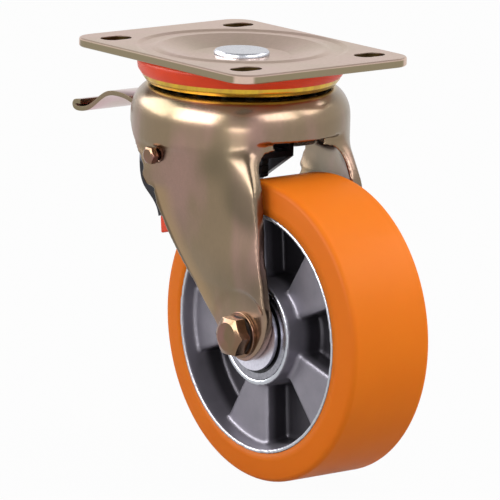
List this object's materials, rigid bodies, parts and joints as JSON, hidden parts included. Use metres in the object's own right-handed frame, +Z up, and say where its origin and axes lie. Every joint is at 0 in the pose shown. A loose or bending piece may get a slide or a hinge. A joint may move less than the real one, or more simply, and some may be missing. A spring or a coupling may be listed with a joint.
{
  "type": "swivel castor",
  "caption": "Heavy-duty swivel castor with a slotted top plate, pressed fork, orange-tyred wheel on ball bearings and a foot-operated total brake.",
  "frame": {"origin": "middle of the plate's upper mounting face, on the swivel axis", "axes": "+Z up out of the mounting face; +Y the way the wheel trails at rest; the wheel axle and the plate's slots run along X"},
  "size_m": [0.1193, 0.2233, 0.209],
  "materials": {
    "yellow_zinc_plate": "yellow zinc plating, pale, iridescent",
    "yellow_zinc": "yellow zinc plating, iridescent",
    "bright_zinc": "clear zinc plating",
    "bearing_steel": "ground and polished",
    "dark_steel": "black oxide, oiled",
    "red_seal": "matt",
    "red_shoe": "matt",
    "orange_tread": "semi-gloss, slightly clear",
    "grey_core": "painted or oiled, satin"
  },
  "bodies": {
    "head": {"top_plate": "yellow_zinc_plate", "kingpin": "bright_zinc", "upper_race": "yellow_zinc", "dust_seal": "red_seal", "upper_balls": "bearing_steel", "lower_balls": "bearing_steel", "spacer_sleeve": "bearing_steel", "lower_race": "dark_steel", "lock_disc": "dark_steel", "kingpin_nut": "dark_steel"},
    "fork": {"fork": "yellow_zinc", "bearing_inner_rings": "bearing_steel", "thrust_washers": "bright_zinc", "axle_tube": "bearing_steel", "axle_washers": "yellow_zinc", "spring_washer": "dark_steel", "axle_bolt": "yellow_zinc", "axle_nut": "yellow_zinc", "brake_pin": "yellow_zinc", "brake_pin_nut": "yellow_zinc", "brake_sleeve": "bright_zinc"},
    "wheel": {"wheel_core": "grey_core", "tyre": "orange_tread", "bearing_outer_rings": "bearing_steel", "bearing_balls": "bearing_steel", "bearing_shields": "dark_steel"},
    "brake": {"brake_lever": "bright_zinc", "brake_shoe": "red_shoe", "brake_pedal": "yellow_zinc", "pedal_rivets": "bright_zinc", "adjusting_screw": "dark_steel", "adjusting_nut": "dark_steel"}
  },
  "joints": [
    {"name": "swivel", "type": "hinge", "parent": "head", "child": "fork", "pos_m": [0, 0, 0], "axis": [0, 0, 1], "continuous": true},
    {"name": "wheel_spin", "type": "hinge", "parent": "fork", "child": "wheel", "pos_m": [0, 0.0479, -0.134], "axis": [1, 0, 0], "continuous": true},
    {"name": "brake_pedal_tilt", "type": "hinge", "parent": "fork", "child": "brake", "pos_m": [0, 0.0004, -0.0495], "axis": [1, 0, 0], "range_deg": [0, 8.2]}
  ]
}
